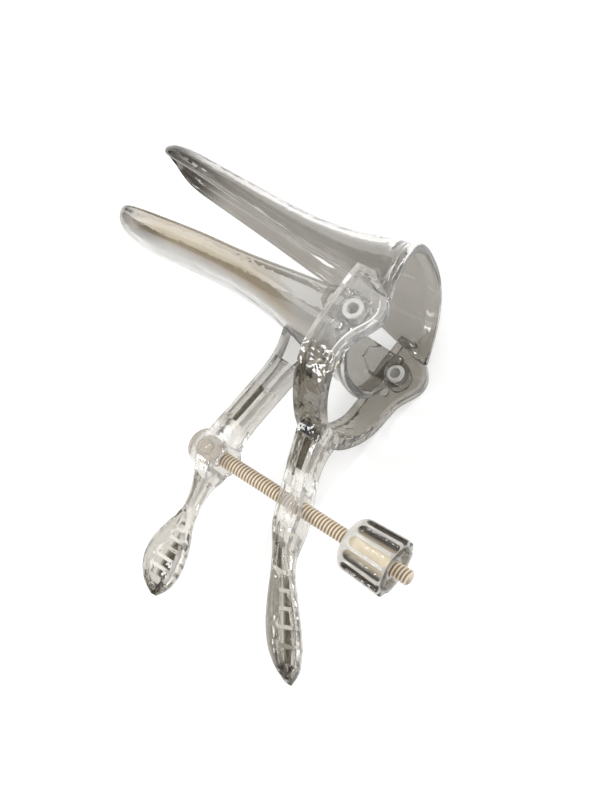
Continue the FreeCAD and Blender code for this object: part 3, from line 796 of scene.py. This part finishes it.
@dataclass
class Valves:
    """The two clear mouldings, which keep their CAD shapes.

    Half widths are distances from the mid-plane, and a face is upright where it stands across it.
    """

    upright_below: float = 0.3          # share of Z in an upright face's direction
    handles_from: float = -24.0         # x at which the handles begin
    web_half: float = 1.6               # half width of the handles' middle web
    web_slack: float = 0.4
    pocket_half: float = 6.0            # half width up to which the handles' pockets reach
    bar_reach: float = 1.0              # a bar's top lies no further than this from a pocket's wall
    rim_from: float = 27.6              # half width from which the yoke's raised rims begin
    rim_top: float = 28.6               # half width from which only the rims' tops are left
    boss_r: float = 5.2                 # plain boss round each hinge pin
    fork_r: float = 6.4                 # fork's boss round the rod's studs
    fork_half: float = 5.0              # half width from which the fork's cheeks begin
    arm_from: float = 24.4              # half width from which the yoke's arms begin
    arm_front: float = 1.6              # y up to which the arms reach
    arch_to: float = -2.0               # x below which everything of the upper valve is yoke
    # Where the rod passes, the photograph shows both handles nearly white.
    # Painted highlight: both handles toned nearly white where the rod passes.
    joint_painted_highlight: PaintedLightTone = PaintedLightTone("#fffdf8", (Zone("x", -39.0, -43.0), Zone("x", -59.0, -55.0)))
    lower: ClearPolystyrene = ClearPolystyrene(
        "crystal_polystyrene_lower", "#dedcd8", 0.88, painted_light=(
            # Painted light: a soft beige streak along the blade's upper side.
            PaintedLightTone("#c9b083", (Zone("z", 3.5, 0.5, MID_Z + 12.3), Zone("y", 8.0, 30.0),
                               Zone("y", 106.0, 80.0)), 0.75),
            # Painted shade: the blade darker towards its tip.
            PaintedLightTone("#7a7468", (Zone("y", 94.0, 107.0),), 0.8),
            # Painted highlight: a light rim at the very tip, then the handles' painted highlight where the
            # rod passes.
            PaintedLightTone("#fdf5e6", (Zone("y", 108.2, 109.6),)), joint_painted_highlight))
    upper: ClearPolystyrene = ClearPolystyrene(
        "crystal_polystyrene_upper", "#f2f0ec", 0.88, painted_light=(
            # Painted shade: a darker band along the blade's upper side.
            PaintedLightTone("#6f6757", (Zone("z", 3.0, 0.5, MID_Z + 12.6), Zone("y", 40.0, 90.0)), 0.5),
            # Painted shade: the blade much darker towards its tip.
            PaintedLightTone("#332c21", (Zone("y", 82.0, 102.0),), 0.95),
            # Painted highlight: a light rim at the very tip, then the handles' painted highlight where the
            # rod passes.
            PaintedLightTone("#fdf5e6", (Zone("y", 108.2, 109.4),)), joint_painted_highlight))
    # Painted shade: the troughs' inner faces take a darker copy of the outer faces' tint, darker still
    # towards the blade's root and its tip.
    inside: ClearPolystyrene = ClearPolystyrene(
        "crystal_polystyrene_inside", "#b1aea8", painted_light=(
            PaintedLightTone("#9b978f", (Zone("y", 24.0, 4.0),), 0.7),
            PaintedLightTone("#4a4338", (Zone("y", 92.0, 107.0),), 0.8)))
    # Painted shade: the upper trough's inner faces darker still, most on their lower side, towards the
    # blade's root and at the tip.
    upper_inside: ClearPolystyrene = ClearPolystyrene(
        "crystal_polystyrene_upper_inside", "#918d86", waves=Waves(0.3), painted_light=(
            PaintedLightTone("#716c63", (Zone("z", 23.0, 17.0), Zone("y", 20.0, 40.0)), 0.8),
            PaintedLightTone("#7d7970", (Zone("y", 24.0, 4.0),), 0.8),
            PaintedLightTone("#352f26", (Zone("y", 82.0, 105.0),), 0.9)))
    # Painted highlight: the handles' bars and pocket walls take a whiter, less clear copy of the plastic, the
    # lower valve's more than the upper's.
    rib: ClearPolystyrene = ClearPolystyrene(
        "crystal_polystyrene_rib", "#f4f1ea", 0.7, 0.06, Waves(0.9, 2.5), (joint_painted_highlight,))
    rear_rib: ClearPolystyrene = ClearPolystyrene(
        "crystal_polystyrene_rear_rib", "#e6e2d9", 0.8, 0.06, Waves(0.9, 2.5), (joint_painted_highlight,))
    # Painted shade: the handles' middle web is a dark copy of the clear plastic.
    web: ClearPolystyrene = ClearPolystyrene("crystal_polystyrene_web", "#6f695d", waves=Waves(0.8, 2.5))
    # Painted shade: the handles' pads are a grey copy of the plastic, darker below y = 12 mm, with the
    # handles' painted highlight where the rod passes.
    pad: ClearPolystyrene = ClearPolystyrene(
        "crystal_polystyrene_pad", "#c6c2b9", waves=Waves(1.2, 3.0), painted_light=(
            PaintedLightTone("#8b867b", (Zone("y", 12.0, 5.0),)), joint_painted_highlight))
    # Painted highlight: the yoke's raised rims and the fork's cheeks take a whiter, less clear copy of the
    # plastic.
    rim: ClearPolystyrene = ClearPolystyrene(
        "crystal_polystyrene_rim", "#f7f5f0", 0.86, 0.04, Waves(0.8, 3.0))
    # Painted highlight and painted shade on the arm above the mid-plane only: white towards x = -2 mm, darker
    # over the arch below x = -10 mm.
    arm: ClearPolystyrene = ClearPolystyrene(
        "crystal_polystyrene_arm", "#b7b2a8", 0.96, waves=Waves(1.8, 3.5), painted_light=(
            PaintedLightTone("#ffffff", (Zone("z", MID_Z, MID_Z + 5.0), Zone("x", -10.0, -2.0))),
            PaintedLightTone("#857f74", (Zone("z", MID_Z, MID_Z + 5.0), Zone("x", -10.0, -16.0)))))

    def reach(self, mesh: bpy.types.Mesh, walls: np.ndarray) -> np.ndarray:
        """Measures how far each face's furthest corner lies from the nearest corner of a pocket's wall.

        Args:
            mesh: A valve's mesh of triangles.
            walls: Which faces are pocket walls.

        Returns:
            The distance for each face, mm.
        """
        corners = np.zeros(len(mesh.polygons) * 3, np.int32)
        mesh.polygons.foreach_get("vertices", corners)
        corners = corners.reshape(-1, 3)
        points = np.zeros(len(mesh.vertices) * 3)
        mesh.vertices.foreach_get("co", points)
        points = points.reshape(-1, 3) / MM
        wall_points = np.unique(np.round(points[np.unique(corners[walls])], 3), axis=0)
        tree = kdtree.KDTree(len(wall_points))
        for i, point in enumerate(wall_points):
            tree.insert(point, i)
        tree.balance()
        away = np.array([tree.find(point)[2] for point in points])
        return away[corners].max(axis=1)

    def regions(self, mesh: bpy.types.Mesh, trough: Trough) -> np.ndarray:
        """Sorts the faces by place and direction.

        Args:
            mesh: A valve's mesh.
            trough: Which of the two troughs it has.

        Returns:
            The region of each face.
        """
        count = len(mesh.polygons)
        centre, normal = np.zeros(count * 3), np.zeros(count * 3)
        mesh.polygons.foreach_get("center", centre)
        mesh.polygons.foreach_get("normal", normal)
        centre, normal = centre.reshape(-1, 3) / MM, normal.reshape(-1, 3)
        off = np.abs(centre[:, 2] - MID_Z)
        handle = centre[:, 0] < self.handles_from
        upright = np.abs(normal[:, 2]) < self.upright_below
        walls = handle & upright & (off > self.web_half - self.web_slack) & (off < self.pocket_half)
        region = np.full(count, Region.WALL.value)
        lip_x, lip_slope = trough.value
        outward = ((centre[:, 0] - lip_x - lip_slope * centre[:, 1]) * normal[:, 0]
                   + (centre[:, 2] - MID_Z) * normal[:, 2])
        region[outward < 0] = Region.INSIDE.value
        if trough is Trough.UPPER:
            arms = (off > self.arm_from) & (centre[:, 1] < self.arm_front)
            region[arms | (centre[:, 0] < self.arch_to)] = Region.ARM.value
        # The regions set below carry painted light: ribs, rims and fork cheeks take whiter copies of the
        # plastic as painted highlight, the web and the pads darker ones as painted shade.
        region[handle] = Region.PAD.value
        bars = handle & ~upright & (self.reach(mesh, walls) < self.bar_reach)
        region[walls | bars] = Region.RIB.value
        region[handle & (off < self.web_half) & ~upright] = Region.WEB.value
        low, high = box_mm("hinge_pin_near")
        from_hinge = np.hypot(*(centre[:, :2] - (low + high)[:2] / 2).T)
        rims = ~handle & (off > self.rim_from) & (upright | (off > self.rim_top))
        region[rims & (from_hinge > self.boss_r)] = Region.RIM.value
        studs = np.array([rod_axis_x(), box_mm("threaded_rod")[1][1] - ThreadedRod.pin_inset])
        from_studs = np.hypot(*(centre[:, :2] - studs).T)
        region[~upright & (from_studs < self.fork_r) & (off > self.fork_half)] = Region.RIM.value
        return region

    def make(self) -> None:
        """Dresses both valves."""
        web, pad, rim, arm = (finish.make() for finish in (self.web, self.pad, self.rim, self.arm))
        for node, trough, wall, rib, inside in (
                ("lower_valve", Trough.LOWER, self.lower, self.rib, self.inside),
                ("upper_valve", Trough.UPPER, self.upper, self.rear_rib, self.upper_inside)):
            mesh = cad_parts[node].data
            mesh.materials.clear()
            for material in (wall.make(), rib.make(), web, pad, rim, inside.make(), arm):
                mesh.materials.append(material)
            region = self.regions(mesh, trough)
            mesh.polygons.foreach_set("material_index", region.astype(np.int32))
            LOG.info("%s dressed, faces by region %s", node, np.bincount(region, minlength=len(Region)))


@dataclass(frozen=True)
class Lamp:
    """One soft lamp that points at the part."""

    name: str
    place: tuple[float, float, float]
    size: tuple[float, float]
    watts: float

    def make(self) -> None:
        """Hangs the lamp."""
        data = bpy.data.lights.new(self.name, "AREA")
        data.shape = "RECTANGLE"
        data.size, data.size_y = self.size
        data.energy = self.watts
        lamp = bpy.data.objects.new(self.name, data)
        lamp.location = self.place
        centre = (CAD_BOX[0] + CAD_BOX[1]) / 2
        lamp.rotation_euler = (centre - lamp.location).to_track_quat("-Z", "Y").to_euler()
        bpy.context.scene.collection.objects.link(lamp)


@dataclass
class Studio:
    """White table, white surround with dark drapes that only the plastic shows, lamps and the camera."""

    camera_place: tuple[float, float, float] = (-0.06094, -0.14061, 0.30201)
    camera_turn: tuple[float, float, float] = (22.24, 19.34, -54.22)
    lens: float = 43.88
    sensor: float = 36.0
    clip_start: float = 0.01
    table_half: float = 3.0
    table_gap: float = 0.0002           # between the table and the rims that lie on it
    table: str = "#d9d9d9"
    table_glow: float = 0.42            # what a seen table adds to reach white
    surround: str = "#ffffff"
    surround_light: float = 0.9         # the surround's strength as a light, where seen it is 1
    drape: str = "#2e2921"
    drapes: float = 5.0                 # drapes round the part
    drape_slant: float = 7.0            # how much they lean
    drape_edge: tuple[float, float] = (0.05, 0.35)
    drape_foot: tuple[float, float] = (0.0, 0.06)       # heights between which the drapes begin
    drape_top: tuple[float, float] = (0.85, 0.7)        # and end
    lamps: tuple[Lamp, ...] = (
        Lamp("key_strip", (-0.2, 0.5, 0.45), (0.12, 0.35), 0.22),
        Lamp("side_softbox", (-0.41, 0.27, 0.41), (0.12, 0.12), 0.7),
        Lamp("top_softbox", (-0.16, 0.26, 0.53), (0.09, 0.12), 0.45),
        Lamp("rim_strip", (0.45, -0.1, 0.35), (0.04, 0.3), 0.8))

    def make_camera(self) -> None:
        """Places the camera at the photograph's viewing angle."""
        data = bpy.data.cameras.new("camera")
        data.lens = self.lens
        data.sensor_width = self.sensor
        data.clip_start = self.clip_start
        camera = bpy.data.objects.new("camera", data)
        camera.location = self.camera_place
        camera.rotation_euler = [math.radians(a) for a in self.camera_turn]
        bpy.context.scene.collection.objects.link(camera)
        bpy.context.scene.camera = camera

    def ray_marks(self, desk: NodeDesk) -> tuple[bpy.types.NodeSocket, bpy.types.NodeSocket]:
        """Marks the rays that show the backdrop.

        Args:
            desk: Where the nodes go.

        Returns:
            1 for rays mirrored by the part or through it, and 1 for those and the straight ones.
        """
        path = desk.add("ShaderNodeLightPath")
        mirrored = desk.add("ShaderNodeMath", {
            0: path.outputs["Is Glossy Ray"], 1: path.outputs["Is Transmission Ray"]}, operation="MAXIMUM")
        seen = desk.add("ShaderNodeMath", {0: path.outputs["Is Camera Ray"], 1: mirrored.outputs[0]},
                        operation="MAXIMUM")
        return mirrored.outputs[0], seen.outputs[0]

    def fade(self, desk: NodeDesk, value: bpy.types.NodeSocket,
             ends: tuple[float, float]) -> bpy.types.NodeSocket:
        """Fades a value.

        Args:
            desk: Where the nodes go.
            value: The value that is faded.
            ends: Where the fade is 0 and where it is 1.

        Returns:
            The faded value.
        """
        return desk.add("ShaderNodeMapRange", {0: value, 1: ends[0], 2: ends[1]},
                        interpolation_type="SMOOTHSTEP").outputs[0]

    def drape_mask(self, desk: NodeDesk) -> bpy.types.NodeSocket:
        """Marks the drapes: where the sine of the direction and the height is high, in a band of heights.

        Args:
            desk: Where the nodes go.

        Returns:
            1 on a drape and 0 beside it.
        """
        way = desk.add("ShaderNodeSeparateXYZ", {0: desk.add("ShaderNodeTexCoord").outputs["Generated"]})
        turn = desk.add("ShaderNodeMath", {0: way.outputs["Y"], 1: way.outputs["X"]}, operation="ARCTAN2")
        lean = desk.add("ShaderNodeMath", {0: way.outputs["Z"], 1: self.drape_slant}, operation="MULTIPLY")
        phase = desk.add("ShaderNodeMath", {0: turn.outputs[0], 1: self.drapes, 2: lean.outputs[0]},
                         operation="MULTIPLY_ADD")
        wave = desk.add("ShaderNodeMath", {0: phase.outputs[0]}, operation="SINE")
        mask = self.fade(desk, wave.outputs[0], self.drape_edge)
        for ends in (self.drape_foot, self.drape_top):
            mask = desk.add("ShaderNodeMath", {0: mask, 1: self.fade(desk, way.outputs["Z"], ends)},
                            operation="MULTIPLY").outputs[0]
        return mask

    def make_surround(self) -> None:
        """Plain surround: white where it is seen, softer as a light, with drapes for the plastic to show."""
        world = bpy.data.worlds.new("surround")
        world.use_nodes = True
        world.node_tree.nodes.clear()
        desk = NodeDesk(world.node_tree)
        mirrored, seen = self.ray_marks(desk)
        shown = desk.add("ShaderNodeMath", {0: self.drape_mask(desk), 1: mirrored}, operation="MULTIPLY")
        room = desk.add("ShaderNodeMix", {
            0: shown.outputs[0], 6: linear(self.surround), 7: linear(self.drape)}, data_type="RGBA")
        strength = desk.add("ShaderNodeMapRange", {0: seen, 3: self.surround_light, 4: 1.0})
        back = desk.add("ShaderNodeBackground", {"Color": room.outputs[2], "Strength": strength.outputs[0]})
        desk.add("ShaderNodeOutputWorld", {"Surface": back.outputs[0]})
        bpy.context.scene.world = world

    def make_table(self) -> None:
        """White table top at the height of the rims that the part lies on."""
        side = self.table_half
        mesh = bpy.data.meshes.new("table_top")
        low = float(CAD_BOX[0].z) - self.table_gap
        corners = [(-side, -side, low), (side, -side, low), (side, side, low), (-side, side, low)]
        mesh.from_pydata(corners, [], [(0, 1, 2, 3)])
        floor = bpy.data.objects.new("table_top", mesh)
        bpy.context.scene.collection.objects.link(floor)
        material, desk = new_material("white_table")
        seen = self.ray_marks(desk)[1]
        base = desk.add("ShaderNodeBsdfDiffuse", {"Color": linear(self.table)})
        glow = desk.add("ShaderNodeMath", {0: seen, 1: self.table_glow}, operation="MULTIPLY")
        light = desk.add("ShaderNodeEmission", {
            "Color": linear(self.surround), "Strength": glow.outputs[0]})
        both = desk.add("ShaderNodeAddShader", {0: base.outputs[0], 1: light.outputs[0]})
        desk.add("ShaderNodeOutputMaterial", {"Surface": both.outputs[0]})
        mesh.materials.append(material)

    def make(self) -> None:
        """Builds the whole studio."""
        self.make_camera()
        self.make_surround()
        self.make_table()
        for lamp in self.lamps:
            lamp.make()


def main() -> None:
    """Builds and dresses every piece."""
    logging.basicConfig(level=logging.INFO, format="%(message)s")
    bpy.context.scene.view_settings.view_transform = "Standard"
    for maker in (Studio(), Valves(), ThreadedRod(), ThumbNut(), HingePins()):
        maker.make()


if __name__ == "__main__":
    main()
